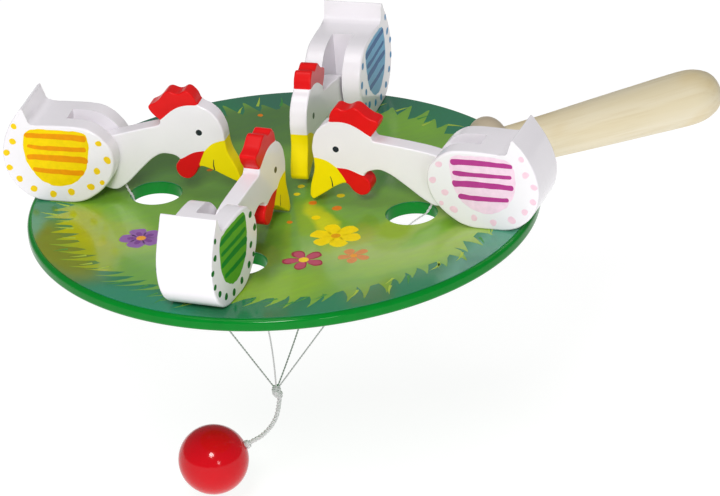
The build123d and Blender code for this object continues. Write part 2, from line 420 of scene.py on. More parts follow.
# The wide yellow patch with its olive edge, the three small spots at the left and the narrow yellow streak in
# the middle are, in the photograph, most likely hens mirrored in the gloss. They are painted here, so they
# don't move with the view, and are the first thing to take out.
MEADOW_PRINT_AND_PAINTED_LIGHT = [
    (-30, 50, 26, 26, 40, (84, 132, 62), 0.9),
    (8, 66, 26, 14, -10, (84, 128, 68), 0.9),
    (30, 55, 20, 24, 30, (78, 120, 62), 0.85),
    # painted shade: darker green beside the right hen's head
    (44, -6, 16, 12, -40, (96, 146, 66), 0.8),
    (-10, 10, 22, 22, 0, (98, 150, 60), 0.8),
    (-52, 34, 24, 12, 70, (126, 176, 58), 0.8),
    # painted reflection: the left hen's yellow wing mirrored in the board's gloss, this row and the next
    (-66, 20, 12, 24, 0, (172, 178, 26), 0.85),
    (-74, -2, 9, 14, 0, (150, 170, 40), 0.7),
    (-56, 8, 10, 18, 10, (150, 184, 84), 0.7),
    (-66, -28, 16, 18, 20, (112, 168, 74), 0.8),
    (26, -52, 36, 18, -8, (160, 188, 96), 0.9),
    (48, -40, 16, 9, 50, (152, 184, 84), 0.7),
    (-34, -58, 24, 16, -20, (140, 182, 44), 0.9),
    # painted shade: darker green beside the front hen
    (-22, -34, 9, 22, -32, (84, 128, 50), 0.8),
    (24, -40, 8, 8, 0, (146, 178, 26), 0.9),
    (34, -50, 18, 5, 16, (118, 172, 44), 0.8),
    (58, -30, 9, 22, -20, (130, 184, 36), 0.7),
    # painted reflection: the right hen's yellow beak mirrored in the board's gloss
    (6, -20, 4.5, 18, -6, (204, 208, 40), 0.75),
    (60, 32, 15, 14, 0, (124, 176, 56), 0.85),
    (14, -64, 26, 7, -4, (146, 186, 66), 0.6),
    # painted reflection: the left hen's wing dots mirrored in the board's gloss, these three rows
    (-66, 31, 2.6, 2.6, 0, (172, 190, 12), 0.8),
    (-68, 9, 2.2, 2.2, 0, (176, 184, 40), 0.7),
    (-73, -10, 2.4, 2.4, 0, (168, 180, 24), 0.7),
    (-51, 23, 7.0, 12.0, 20, (138, 184, 84), 0.6),
]
RING_PRINT_AND_PAINTED_REFLECTION = [
    # painted reflection: the olive edge of the left hen's wing mirrored in the board's gloss
    (-82, 10, 10, 30, 0, (104, 130, 48), 0.85),
    (-86, 34, 8, 14, -20, (70, 150, 112), 0.8),
    (-76, -42, 12, 26, 30, (40, 142, 112), 0.8),
    (-10, -84, 40, 8, 0, (38, 132, 92), 0.8),
    (46, -72, 30, 9, 32, (86, 156, 132), 0.85),
    (70, -44, 10, 16, -30, (62, 140, 110), 0.7),
    (50, 66, 40, 20, -40, (48, 112, 88), 0.9),
    (-20, 84, 40, 10, 10, (44, 104, 84), 0.9),
    (82, 8, 10, 30, 0, (46, 124, 92), 0.8),
]

WHITE = gloss_paint("white_enamel", srgb(248, 244, 249), 0.985, 0.25, 0.3)
GREEN = gloss_paint("green_enamel", srgb(0, 130, 38), 0.93, 0.14, 0.05, level=0.14)
RED = gloss_paint("red_enamel", srgb(234, 22, 24), 0.93, 0.3, 0.03, level=0.15)
YELLOW = gloss_paint("yellow_enamel", srgb(255, 232, 6), 0.98, 0.3, 0.05, level=0.2)
BLACK = gloss_paint("eye_black", srgb(22, 32, 42), 0.8, 0.3, 0.2)
BALL_RED = gloss_paint("ball_red", srgb(218, 6, 24), 0.95, 0.12, 0.1, 0.000006, level=0.22)
WOOD = wood("turned_birch")
COTTON = cotton("white_cotton")
THREAD = cotton("thin_thread", (0.7, 0.7, 0.7, 1.0), 9000)
STEEL = steel("wire_steel")
# Both print materials carry painted reflections and painted shade among their printed blots.
MEADOW = print_material("meadow_print", srgb(118, 168, 62), MEADOW_PRINT_AND_PAINTED_LIGHT, 0.25)
RING = print_material("ring_print_and_painted_reflection", srgb(40, 126, 84), RING_PRINT_AND_PAINTED_REFLECTION, 0.1)


def ink(name, colour):
    """Printed ink with a little uneven cover."""
    n = Nodes(name)
    r, g, b = colour
    cover = n.ramp(n.noise(420, 3, 0.6), 0.3, 0.75)
    n.bump(n.noise(260, 2), 0.00002, 0.6)
    n.set(Base_Color=n.mix(cover, srgb(r * 0.96, g * 0.96, b * 0.96), srgb(r, g, b)), Roughness=0.35,
          Specular_IOR_Level=0.08)
    return n.material


# ---- flat shapes: outlines, fills and thin printed areas ----------------------------------------
class Sheet:
    """Builds a solid from flat areas: drawn in x and y, with z as height. Later turned upright if need be."""

    def __init__(self):
        self.bm = bmesh.new()
        self.weight = self.bm.edges.layers.float.new("bevel_weight_edge")

    def prism(self, loop, low, high, slot=0):
        """A closed solid on one outline."""
        lower = [self.bm.verts.new((p[0], p[1], low)) for p in loop]
        upper = [self.bm.verts.new((p[0], p[1], high)) for p in loop]
        faces = [self.bm.faces.new(upper), self.bm.faces.new(lower[::-1])]
        count = len(loop)
        for i in range(count):
            j = (i + 1) % count
            faces.append(self.bm.faces.new((lower[i], lower[j], upper[j], upper[i])))
        for f in faces:
            f.material_index = slot

    def parted(self, points, areas, low, high, round_low=True, round_high=True, sharp=()):
        """A plate whose face is parted into areas that share their edges.
        An area is its corner numbers and slot."""
        lower = [self.bm.verts.new((p[0], p[1], low)) for p in points]
        upper = [self.bm.verts.new((p[0], p[1], high)) for p in points]
        used = {}
        for corners, slot in areas:
            top = self.bm.faces.new([upper[i] for i in corners])
            base = self.bm.faces.new([lower[i] for i in reversed(corners)])
            top.material_index = base.material_index = slot
            for i, j in zip(corners, corners[1:] + corners[:1]):
                used.setdefault(frozenset((i, j)), []).append((i, j, slot))
        for ways in used.values():
            if len(ways) > 1:
                continue
            i, j, slot = ways[0]
            side = self.bm.faces.new((lower[i], lower[j], upper[j], upper[i]))
            side.material_index = slot
            room = [(Vector(points[i]) - Vector(p)).length - TIP_PLAIN for p in sharp]
            reach = min(room + [TIP_FADE]) / TIP_FADE
            for a, b, wanted in ((lower[i], lower[j], round_low), (upper[i], upper[j], round_high)):
                if wanted:
                    self.bm.edges.get((a, b))[self.weight] = max(reach, 0.0)

    def object(self, name, upright=False):
        bmesh.ops.recalc_face_normals(self.bm, faces=self.bm.faces[:])
        turn = Matrix.Rotation(math.radians(90), 4, "X") if upright else Matrix.Identity(4)
        self.bm.transform(Matrix.Scale(MM, 4) @ turn)
        mesh = bpy.data.meshes.new(name)
        self.bm.to_mesh(mesh)
        self.bm.free()
        return new_object(name, mesh)


def circle(x, y, radius, count=32, squash=1.0, turn=0.0):
    out = []
    for i in range(count):
        a = 2 * math.pi * i / count
        px, py = radius * math.cos(a), radius * squash * math.sin(a)
        c, s = math.cos(turn), math.sin(turn)
        out.append((x + px * c - py * s, y + px * s + py * c))
    return out


def wobble(points, amount, seed):
    """Moves an outline a little in and out, as a brush does."""
    out = []
    for p in points:
        v = Vector((p[0] * 0.45 + seed * 7.3, p[1] * 0.45, seed * 1.7))
        out.append((p[0] + amount * noise.noise(v), p[1] + amount * noise.noise(v + Vector((9, 4, 2)))))
    return out


def stripe(x0, x1, y, thick, bow=0.0, taper=0.75):
    """A brush stroke along x with round ends, thinner at its far end."""
    near_r, far_r = thick / 2, thick / 2 * taper
    out = []
    for i in range(9):
        a = math.pi / 2 + math.pi * i / 8
        out.append((x0 + near_r + near_r * math.cos(a), y + near_r * math.sin(a)))
    for i in range(1, 8):
        t = i / 8
        out.append((x0 + (x1 - x0) * t, y + bow * 4 * t * (1 - t) - near_r + (near_r - far_r) * t))
    for i in range(9):
        a = -math.pi / 2 + math.pi * i / 8
        out.append((x1 - far_r + far_r * math.cos(a), y + far_r * math.sin(a)))
    for i in range(7, 0, -1):
        t = i / 8
        out.append((x0 + (x1 - x0) * t, y + bow * 4 * t * (1 - t) + near_r - (near_r - far_r) * t))
    return out


def filled(name, outer, holes, low, high, slot=0):
    """A flat solid with holes, from a filled curve."""
    curve = bpy.data.curves.new(name, "CURVE")
    curve.dimensions = "2D"
    curve.fill_mode = "BOTH"
    curve.extrude = (high - low) / 2 * MM
    for loop in [outer] + holes:
        spline = curve.splines.new("POLY")
        spline.points.add(len(loop) - 1)
        spline.use_cyclic_u = True
        for point, (x, y) in zip(spline.points, loop):
            point.co = (x * MM, y * MM, 0, 1)
    made = new_object(name + "_curve", curve)
    made.location.z = (low + high) / 2 * MM
    bpy.context.view_layer.update()
    graph = bpy.context.evaluated_depsgraph_get()
    mesh = bpy.data.meshes.new_from_object(made.evaluated_get(graph))
    mesh.transform(made.matrix_world)
    bpy.data.objects.remove(made)
    bm = bmesh.new()
    bm.from_mesh(mesh)
    bmesh.ops.remove_doubles(bm, verts=bm.verts[:], dist=1e-7)
    bmesh.ops.recalc_face_normals(bm, faces=bm.faces[:])
    for f in bm.faces:
        f.material_index = slot
    bm.to_mesh(mesh)
    bm.free()
    return mesh


def joined(name, meshes):
    bm = bmesh.new()
    for m in meshes:
        bm.from_mesh(m)
    mesh = bpy.data.meshes.new(name)
    bm.to_mesh(mesh)
    bm.free()
    return new_object(name, mesh)


# ---- board --------------------------------------------------------------------------------------
def build_board():
    """The round board: its rim and the edges of its holes are rounded over and enamelled."""
    holes = [hole_centre(n) for n in HENS]
    bm = bmesh.new()
    wood_top = TOP - PRINT_T
    rim_r = 1.6
    profile = []
    for i in range(9):
        a = math.pi / 2 * i / 8
        profile.append((BOARD_R - rim_r + rim_r * math.sin(a), wood_top - rim_r + rim_r * math.cos(a)))
    for i in range(9):
        a = math.pi / 2 * i / 8
        profile.append((BOARD_R - rim_r + rim_r * math.cos(a), BOTTOM + rim_r - rim_r * math.sin(a)))
    rings = []
    for r, z in profile:
        ring = []
        for i in range(RIM_SIDES):
            a = 2 * math.pi * i / RIM_SIDES
            ring.append(bm.verts.new((BOARD_X + r * math.cos(a), r * math.sin(a), z)))
        rings.append(ring)
    for low, high in zip(rings, rings[1:]):
        for i in range(RIM_SIDES):
            j = (i + 1) % RIM_SIDES
            bm.faces.new((low[i], high[i], high[j], low[j]))
    walls = {}
    hole_edge = 0.35
    for x, y in holes:
        section = [(HOLE_R + hole_edge, wood_top), (HOLE_R + 0.1, wood_top - 0.1),
                   (HOLE_R, wood_top - hole_edge), (HOLE_R, BOTTOM + hole_edge),
                   (HOLE_R + 0.1, BOTTOM + 0.1), (HOLE_R + hole_edge, BOTTOM)]
        loops = []
        for r, z in section:
            loops.append([bm.verts.new((px, py, z)) for px, py in circle(x, y, r, HOLE_SIDES)])
        for a, b in zip(loops, loops[1:]):
            for i in range(HOLE_SIDES):
                j = (i + 1) % HOLE_SIDES
                bm.faces.new((a[i], a[j], b[j], b[i]))
        walls[(x, y)] = (loops[0], loops[-1])
    for ring, which in ((rings[0], 0), (rings[-1], 1)):
        edges = []
        for loop in [ring] + [w[which] for w in walls.values()]:
            for i in range(len(loop)):
                a, b = loop[i], loop[(i + 1) % len(loop)]
                edges.append(bm.edges.get((a, b)) or bm.edges.new((a, b)))
        bmesh.ops.triangle_fill(bm, use_beauty=True, edges=edges)
    bmesh.ops.recalc_face_normals(bm, faces=bm.faces[:])
    bm.transform(Matrix.Scale(MM, 4))
    mesh = bpy.data.meshes.new("painted_board")
    bm.to_mesh(mesh)
    bm.free()
    board = finish_edges(new_object("painted_board", mesh), 0)
    return dress(board, [GREEN], ROOT, "green_paint", "board")


def meadow_edge(rng):
    """The meadow's outline: blades of grass that lean and differ in length."""
    out = []
    count = 76
    step = 2 * math.pi / count
    for i in range(count):
        a = 2 * math.pi * (i + rng.uniform(-0.16, 0.16)) / count
        swept = math.exp(-((math.degrees(a) - 208) / 38) ** 2)
        lean = (-0.5 if math.sin(a) < 0.2 else 0.3) * (1 - swept) - 1.5 * swept
        valley = 74.6 - 2.2 * swept + rng.uniform(-1.5, 1.2)
        tip = 82.2 + 1.6 * swept + rng.uniform(-3.4, 2.0)
        for part, reach, shift in ((0.0, 0.0, 0.0), (0.16, 0.3, 0.2), (0.3, 0.62, 0.5), (0.38, 0.88, 0.82),
                                   (0.44, 1.0, 1.0), (0.52, 0.9, 0.9), (0.64, 0.55, 0.5), (0.8, 0.2, 0.2)):
            out.append((valley + (tip - valley) * reach, a + step * (part + lean * shift)))
    return [(BOARD_X + r * math.cos(a), r * math.sin(a)) for r, a in out]


def blade(x, y, direction, size, width, bend):
    """One blade of grass: a thin curved leaf."""
    left, right = [], []
    for i in range(7):
        t = i / 6
        a = direction + bend * t
        px = x + size * t * math.cos(a)
        py = y + size * t * math.sin(a)
        half = width / 2 * (1 - t) ** 0.8
        left.append((px - half * math.sin(a), py + half * math.cos(a)))
        right.append((px + half * math.sin(a), py - half * math.cos(a)))
    return left + right[-2::-1]


def petals(x, y, count, reach, width, turn):
    """Petal outlines round a flower's middle."""
    out = []
    for k in range(count):
        a = turn + 2 * math.pi * k / count
        loop = []
        for i in range(16):
            t = 2 * math.pi * i / 16
            along = reach * (0.56 + 0.44 * math.cos(t))
            side = width / 2 * math.sin(t) * (0.75 + 0.25 * math.cos(t))
            loop.append((x + along * math.cos(a) - side * math.sin(a),
                         y + along * math.sin(a) + side * math.cos(a)))
        out.append(loop)
    return out


def build_print():
    """The printed sheet: a darker ring, the meadow inside it with its grass edge, and flowers."""
    rng = random.Random(7)
    low = TOP - PRINT_T
    holes = [circle(*hole_centre(n), HOLE_R, HOLE_SIDES) for n in HENS]
    disc = filled("ring", circle(BOARD_X, 0, PRINT_R, RIM_SIDES), holes, low, TOP)
    meadow = filled("meadow", meadow_edge(rng), holes, TOP - SUNK, TOP + 0.02, 1)
    inks = {}
    materials = [RING, MEADOW]

    def tone(name, rgb):
        if name not in inks:
            inks[name] = len(materials)
            materials.append(ink("ink_" + name, rgb))
        return inks[name]

    shapes = Sheet()

    def put(loop, slot, lift):
        shapes.prism([(BOARD_X + px, py) for px, py in loop], TOP - SUNK, TOP + lift, slot)

    for i in range(64):
        a = 2 * math.pi * i / 64 + rng.uniform(-0.05, 0.05)
        r = rng.uniform(73.0, 79.5)
        pale = rng.random() < 0.6
        slot = tone("pale_grass", (172, 200, 74)) if pale else tone("mid_grass", (74, 150, 70))
        lean = 1.1 if math.sin(a) < 0.3 and math.cos(a) > -0.75 else 0.45
        put(blade(r * math.cos(a), r * math.sin(a), a - lean * rng.uniform(0.4, 1.0),
                  rng.uniform(4.5, 7.5), 1.1, rng.uniform(-0.4, 0.2)), slot, 0.03)
    # Flowers, then loose dots.
    for loop in petals(*VIOLET_AT, 5, 7.6, 8.0, 1.35):
        put(wobble(loop, 0.5, 3), tone("violet", (152, 104, 176)), 0.04)
    for loop in petals(*VIOLET_AT, 5, 5.0, 2.6, 1.35):
        put(loop, tone("deep_violet", (128, 74, 150)), 0.05)
    put(circle(*VIOLET_AT, 1.7, 20), tone("orange", (246, 166, 60)), 0.06)
    for loop in petals(*ROSE_AT, 5, 7.6, 5.8, 1.5):
        put(wobble(loop, 0.5, 5), tone("rose_edge", (160, 50, 70)), 0.04)
    for loop in petals(*ROSE_AT, 5, 6.9, 4.4, 1.5):
        put(loop, tone("rose", (192, 84, 110)), 0.05)
    put(circle(*ROSE_AT, 1.8, 20), tone("gold", (250, 216, 60)), 0.06)
    for loop in petals(*SUN_AT, 6, 9.2, 7.4, 0.25):
        put(wobble(loop, 0.6, 8), tone("sun", (250, 222, 20)), 0.04)
    put(circle(*SUN_AT, 1.7, 20), tone("amber", (226, 160, 24)), 0.06)
    for loop in petals(*PEACH_AT, 5, 5.8, 4.6, 0.3):
        put(wobble(loop, 0.5, 9), tone("peach", (222, 148, 92)), 0.04)
    put(circle(*PEACH_AT, 1.2, 16), tone("orange", (246, 166, 60)), 0.06)
    for x, y, r, name, rgb in [
        (8.6, -5.7, 1.5, "spark", (236, 130, 30)), (13.9, -14.3, 1.7, "spark", (236, 130, 30)),
        (4.6, -16.9, 1.6, "sun", (250, 222, 20)), (19.3, -6.1, 1.5, "sun", (250, 222, 20)),
        (10.7, 8.3, 1.3, "sun", (250, 222, 20)), (6.9, 3.6, 1.2, "sun", (250, 222, 20)),
        (-4.7, -15.0, 1.1, "spark", (236, 130, 30)), (-10.7, 38.3, 1.1, "spark", (236, 130, 30)),
        (22.9, 68.0, 1.0, "spark", (236, 130, 30)),
    ]:
        put(wobble(circle(x, y, r, 18), 0.3, x), tone(name, rgb), 0.04)
    extra = shapes.object("print_shapes")
    sheet = joined("printed_meadow", [disc, meadow, extra.data])
    bpy.data.objects.remove(extra)
    sheet = finish_edges(sheet, 0)
    return dress(sheet, materials, ROOT, "meadow_print", "print_sheet")


# ---- handle, ball -------------------------------------------------------------------------------
def lathe(name, profile, count=96):
    """Turns a profile of (distance along, radius) round the x axis."""
    bm = bmesh.new()
    rings = []
    for s, r in profile:
        if r < 1e-6:
            rings.append([bm.verts.new((s, 0, 0))])
        else:
            rings.append([bm.verts.new((s, r * math.cos(2 * math.pi * i / count),
                                        r * math.sin(2 * math.pi * i / count))) for i in range(count)])
    for a, b in zip(rings, rings[1:]):
        for i in range(count):
            j = (i + 1) % count
            loop = [a[i % len(a)], a[j % len(a)], b[j % len(b)], b[i % len(b)]]
            seen = []
            for v in loop:
                if v not in seen:
                    seen.append(v)
            bm.faces.new(seen)
    bmesh.ops.recalc_face_normals(bm, faces=bm.faces[:])
    bm.transform(Matrix.Scale(MM, 4))
    mesh = bpy.data.meshes.new(name)
    bm.to_mesh(mesh)
    bm.free()
    return new_object(name, mesh)


def cut_away(obj, cutter):
    change = obj.modifiers.new("cut", "BOOLEAN")
    change.operation = "DIFFERENCE"
    change.solver = "EXACT"
    change.object = cutter
    evaluated(obj)
    bpy.data.objects.remove(cutter)
    return obj


def build_handle():
    """The turned handle, slotted over the board's edge."""
    bead = smooth_line(HANDLE_BEAD[1:], 6)
    grip = smooth_line(HANDLE_GRIP[1:], 6)
    profile = [HANDLE_BEAD[0]] + [tuple(p) for p in bead] + [tuple(p) for p in grip[:-1]] + [HANDLE_GRIP[-1]]
    profile = [(BOARD_X + s, max(r, 0.0)) for s, r in profile]
    handle = lathe("turned_handle", profile)
    slab = Sheet()
    slab.prism(circle(BOARD_X, 0, BOARD_R, RIM_SIDES), BOTTOM, TOP)
    handle = cut_away(handle, slab.object("slab"))
    finish_edges(handle, 0)
    return dress(handle, [WOOD], ROOT, "bare_wood", "handle")


def ball_frame():
    centre = swing_point(*BALL)
    towards = (swing_point(*CORD_PATH[-1]) - centre).normalized()
    return centre, towards


def build_ball():
    """The turned ball: the bore's mouth is eased where the cord goes in."""
    centre, towards = ball_frame()
    bore = 0.95
    profile = [(BALL_R - CORD_IN_BALL - 0.8, 0.0), (BALL_R - CORD_IN_BALL, bore), (BALL_R - 1.2, bore),
               (BALL_R - 0.5, bore + 0.1)]
    first = math.asin((bore + 0.45) / BALL_R)
    profile += [(BALL_R * math.cos(first + (math.pi - first) * i / 64),
                 max(BALL_R * math.sin(first + (math.pi - first) * i / 64), 0.0)) for i in range(64)]
    profile += [(-BALL_R, 0.0)]
    ball = lathe("red_ball", profile, 112)
    turn = towards.to_track_quat("X", "Z").to_matrix().to_4x4()
    ball.data.transform(Matrix.Translation(centre * MM) @ turn)
    finish_edges(ball, 0)
    return dress(ball, [BALL_RED], "ball_on_cord", "red_paint", "ball")


# ---- hens ---------------------------------------------------------------------------------------
PATCH = [(-12.6, 28.0), (-5.0, 28.3), (5.0, 28.2), (10.2, 27.4), (11.4, 22.0), (11.2, 15.6), (8.6, 10.6),
         (4.4, 7.2), (0.6, 6.0), (-4.0, 6.6), (-8.0, 9.2), (-11.2, 13.4), (-12.6, 20.0)]
DOTS = [(-16.5, 24.0, 1.3), (-19.2, 17.8, 1.35), (-15.0, 13.2, 1.25), (-12.2, 6.9, 1.4), (-4.9, 4.3, 1.3),
        (2.0, 3.1, 1.35), (8.9, 4.6, 1.4), (13.9, 8.2, 1.3), (17.2, 12.4, 1.15), (18.0, 18.0, 1.2),
        (15.3, 22.6, 1.3), (14.2, 28.6, 1.1), (-16.6, 8.9, 1.0)]
STRIPES = [(25.4, 2.4), (21.2, 1.9), (17.0, 2.6), (12.2, 2.1)]
WINGS = {
    "right": ((252, 222, 240), (188, 66, 146), (252, 214, 230)),
    "back": ((104, 178, 220), (0, 98, 162), (60, 146, 200)),
    "left": ((255, 220, 0), (246, 158, 0), (255, 216, 30)),
    "front": ((92, 172, 44), (0, 134, 44), (16, 110, 40)),
}


def wing_print(sheet, base, direction, first_slot, seed):
    """The painted wing on a cheek's outer face: a patch, stripes and a ring of dots."""
    def lay(loop, slot, lift):
        a, b = base - SUNK * direction, base + lift * direction
        sheet.prism(loop, min(a, b), max(a, b), slot)

    patch = smooth_loop(PATCH, 0.48, 5)
    lay(wobble(patch, 0.45, seed), first_slot, 0.02)
    for k, (z, thick) in enumerate(STRIPES):
        left = -12.2 + 0.5 * (k % 2) + (1.4 if k == 3 else 0)
        right = 10.6 - 0.6 * (k % 2) - (1.4 if k == 3 else 0)
        lay(wobble(stripe(left, right, z, thick, 0.25 * (-1) ** k), 0.3, seed + k), first_slot + 1, 0.035)
    for k, (x, z, r) in enumerate(DOTS):
        lay(wobble(circle(x, z, r, 20, 0.92, k), 0.35, seed + k * 0.37), first_slot + 2, 0.025)


def near(points, target):
    """The number of the point nearest a target."""
    return min(range(len(points)), key=lambda i: (Vector(points[i]) - Vector(target)).length)


def build_body(name, index):
    """A hen's body: two cheeks and the core between them behind the slot."""
    place = hen_place(name)
    move = Matrix.Scale(MM, 4) @ place @ Matrix.Scale(1 / MM, 4)
    outline = [tuple(p) for p in smooth_loop(BODY)]
    half, slot = HEN_W / 2, SLOT_W / 2
    patch, bars, dots = [ink(f"{name}_{part}", rgb)
                         for part, rgb in zip(("patch", "stripe", "dot"), WINGS[name])]
    corners = list(range(len(outline)))
    # Turned upright, height h in the drawing becomes -h across the hen, so cheek_a is on the +y side.
    for label, low, high, outer in (("cheek_a", -half, -slot, -half), ("cheek_b", slot, half, half)):
        sheet = Sheet()
        sheet.parted(outline, [(corners, 0)], low, high, outer == low, outer == high, TAIL_TIP)
        wing_print(sheet, outer, 1 if outer > 0 else -1, 1, index * 3.1 + (outer > 0))
        cheek = sheet.object(f"{name}_{label}_painted", True)
        finish_edges(cheek, 0.9)
        cheek.data.transform(move)
        dress(cheek, [WHITE, patch, bars, dots], ROOT, "white_paint", f"{name}_{label}")
    # The outline goes over the tail and down, so behind the slot it is one run, closed by the cut.
    core_loop = [p for p in outline if p[0] > CORE_FROM] + [(CORE_FROM, 0.0), (CORE_FROM, CORE_TOP)]
    sheet = Sheet()
    sheet.parted(core_loop, [(list(range(len(core_loop))), 0)], -slot, slot, False, False)
    core = finish_edges(sheet.object(f"{name}_core_painted", True), 0)
    core.data.transform(move)
    dress(core, [WHITE], ROOT, "white_paint", f"{name}_core")


def build_head(name):
    """A hen's head and neck: one plate, parted into comb, face, beak and wattle."""
    place = head_place(name)
    move = Matrix.Scale(MM, 4) @ place @ Matrix.Scale(1 / MM, 4)
    points = [tuple(p) for p in smooth_loop(HEAD)]
    total = len(points)

    def run(a, b):
        """Corner numbers along the outline from a to b."""
        out = [a]
        while out[-1] != b:
            out.append((out[-1] + 1) % total)
        return out

    def line(path):
        """Adds the points of a dividing line, and gives their numbers."""
        made = smooth_line(path, 4)[1:-1]
        first = len(points)
        points.extend(tuple(p) for p in made)
        return list(range(first, first + len(made)))

    comb_a, comb_b = near(points[:total], COMB_LINE[0]), near(points[:total], COMB_LINE[-1])
    beak_a = near(points[:total], BEAK_LINE[0])
    chin_b = near(points[:total], CHIN_LINE[-1])
    wattle_b = near(points[:total], WATTLE_LINE[-1])
    points.append(BEAK_LINE[-1])
    meet = len(points) - 1
    comb = line(COMB_LINE)
    beak = line(BEAK_LINE)
    chin = line(CHIN_LINE)
    wattle = line(WATTLE_LINE)
    # The outline runs from the beak's tip up over the comb, back along the neck and under to the wattle.
    face = (run(beak_a, comb_a) + comb + run(comb_b, wattle_b) + wattle[::-1] + [meet] + beak[::-1])
    areas = [
        (face, 0),
        (run(comb_a, comb_b) + comb[::-1], 1),
        (run(chin_b, beak_a) + beak + [meet] + chin, 2),
        (run(wattle_b, chin_b) + chin[::-1] + [meet] + wattle, 1),
    ]
    sheet = Sheet()
    half = HEAD_T / 2
    sheet.parted(points, areas, -half, half)
    for side in (-1, 1):
        a, b = side * (half - SUNK), side * (half + 0.03)
        sheet.prism(circle(*EYE, EYE_R, 28), min(a, b), max(a, b), 3)
        mouth = [Vector(p) for p in smooth_line(MOUTH, 4)]
        across = [Vector((0.26, 0.03)) * (0.4 + 0.6 * i / len(mouth)) for i in range(len(mouth))]
        loop = [tuple(p - w) for p, w in zip(mouth, across)]
        loop += [tuple(p + w) for p, w in zip(mouth[::-1], across[::-1])]
        sheet.prism(loop, min(a, b), max(a, b), 3)
    head = sheet.object(f"{name}_head_painted", True)
    finish_edges(head, 0.55)
    head.data.transform(move)
    dress(head, [WHITE, RED, YELLOW, BLACK], f"{name}_head", "head_paint", f"{name}_head")


# ---- strings and cord ---------------------------------------------------------------------------
def spline_points(name, route, steps=24):
    """The line of a NURBS spline on these control points."""
    curve = bpy.data.curves.new(name, "CURVE")
    curve.dimensions = "3D"
    curve.resolution_u = steps
    spline = curve.splines.new("NURBS")
    spline.points.add(len(route) - 1)
    for point, p in zip(spline.points, route):
        point.co = (*[c * MM for c in p], 1)
    spline.order_u = 3
    spline.use_endpoint_u = True
    made = new_object(name, curve)
    graph = bpy.context.evaluated_depsgraph_get()
    mesh = bpy.data.meshes.new_from_object(made.evaluated_get(graph))
    out = [v.co.copy() for v in mesh.vertices]
    bpy.data.objects.remove(made)
    return out


def strands(name, line, radius, count, strand_r, pitch, sides=8):
    """Twisted yarn: count strands wound round a line of points, in metres."""
    bm = bmesh.new()
    far = [0.0]
    for a, b in zip(line, line[1:]):
        far.append(far[-1] + (b - a).length)
    side = (line[1] - line[0]).orthogonal().normalized()
    frames = []
    for i, p in enumerate(line):
        ahead = (line[min(i + 1, len(line) - 1)] - line[max(i - 1, 0)]).normalized()
        side = (side - ahead * side.dot(ahead)).normalized()
        frames.append((p, side, ahead.cross(side)))
    for k in range(count):
        rings = []
        for (p, u, v), s in zip(frames, far):
            a = 2 * math.pi * (k / count + s / pitch)
            middle = p + (u * math.cos(a) + v * math.sin(a)) * radius
            rings.append([bm.verts.new(middle + (u * math.cos(t) + v * math.sin(t)) * strand_r)
                          for t in (2 * math.pi * j / sides for j in range(sides))])
        for a, b in zip(rings, rings[1:]):
            for j in range(sides):
                n = (j + 1) % sides
                bm.faces.new((a[j], a[n], b[n], b[j]))
        bm.faces.new(rings[0][::-1])
        bm.faces.new(rings[-1])
    bmesh.ops.recalc_face_normals(bm, faces=bm.faces[:])
    mesh = bpy.data.meshes.new(name)
    bm.to_mesh(mesh)
    bm.free()
    return finish_edges(new_object(name, mesh), 0, angle=70)


def resample(line, step):
    """The same line with points a set distance apart, in metres."""
    out = [line[0].copy()]
    need = step
    for a, b in zip(line, line[1:]):
        gap = (b - a).length
        done = 0.0
        while gap - done >= need:
            done += need
            out.append(a.lerp(b, done / gap))
            need = step
        need -= gap - done
    out.append(line[-1].copy())
    return out


def string_route(name):
    """A string's points, in mm: from under the neck, through the hole, to the knot."""
    a = math.radians(HENS[name][0])
    route = []
    for radius, height, side in STRINGS[name]:
        route.append(Vector((BOARD_X + radius * math.cos(a) - side * math.sin(a),
                             radius * math.sin(a) + side * math.cos(a), height)))
    knot = swing_point(*KNOT)
    towards = (route[-1] - knot).normalized()
    return route + [knot + towards * (HITCH_R + KNOT_CLEAR)]


def knot_mesh(name, centre, axis, radius, turns, yarn, length, seed):
    """Yarn wound round and round a middle: a gathered knot."""
    rng = random.Random(seed)
    axis = axis.normalized()
    u = axis.orthogonal().normalized()
    v = axis.cross(u)
    line = []
    count = turns * 18
    for i in range(count + 1):
        t = i / count
        a = 2 * math.pi * turns * t
        along = (t - 0.5) * length + 0.12 * radius * math.sin(a * 2.3 + seed)
        swell = radius * (0.55 + 0.45 * math.sin(math.pi * min(max(t, 0.04), 0.96)))
        line.append((centre + axis * along + (u * math.cos(a) + v * math.sin(a)) * swell
                     + Vector([rng.uniform(-0.05, 0.05) for _ in range(3)])) * MM)
    return strands(name, line, 0.0, 1, yarn * MM, 1.0)


def build_strings():
    """Four thin strings, the tie that joins each to its neck, and the knot that gathers them."""
    knot = swing_point(*KNOT)
    for name in HENS:
        route = string_route(name)
        into_knot = (route[-1] * 0.5 + knot * 0.5) * MM
        line = resample(spline_points(name + "_route", route) + [into_knot], 0.0006)
        made = strands(f"{name}_string_twist", line, 0.00014, 2, 0.0002, 0.0022, 6)
        made.data.materials.append(THREAD)
        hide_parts(f"{name}_string")
        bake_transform(made)
        # The tie joins the neck's lower end to the string.
        place = head_place(name)
        top = place @ Vector((TIE_AT[0], 0, TIE_AT[1] + TIE_ABOVE))
        low = place @ Vector((TIE_AT[0], 0, TIE_AT[1] - TIE_BELOW))
        ahead = (route[0] - low).normalized()
        tie_route = [top, low, route[0] - ahead * TIE_BEND, route[0]]
        tie_line = resample(spline_points(name + "_tie_route", tie_route), 0.0004)
        tie = strands(f"{name}_tie_yarn", tie_line, 0.00022, 2, 0.00027, 0.003, 8)
        tie.data.materials.append(COTTON)
        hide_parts(f"{name}_tie")
        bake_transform(tie)
    gather = knot_mesh("gather_knot_yarn", knot, Vector((0.1, 0.05, 1)), 1.35, 7, 0.36, 3.6, 4)
    dress(gather, [COTTON], "knot", "string", "gather_knot")


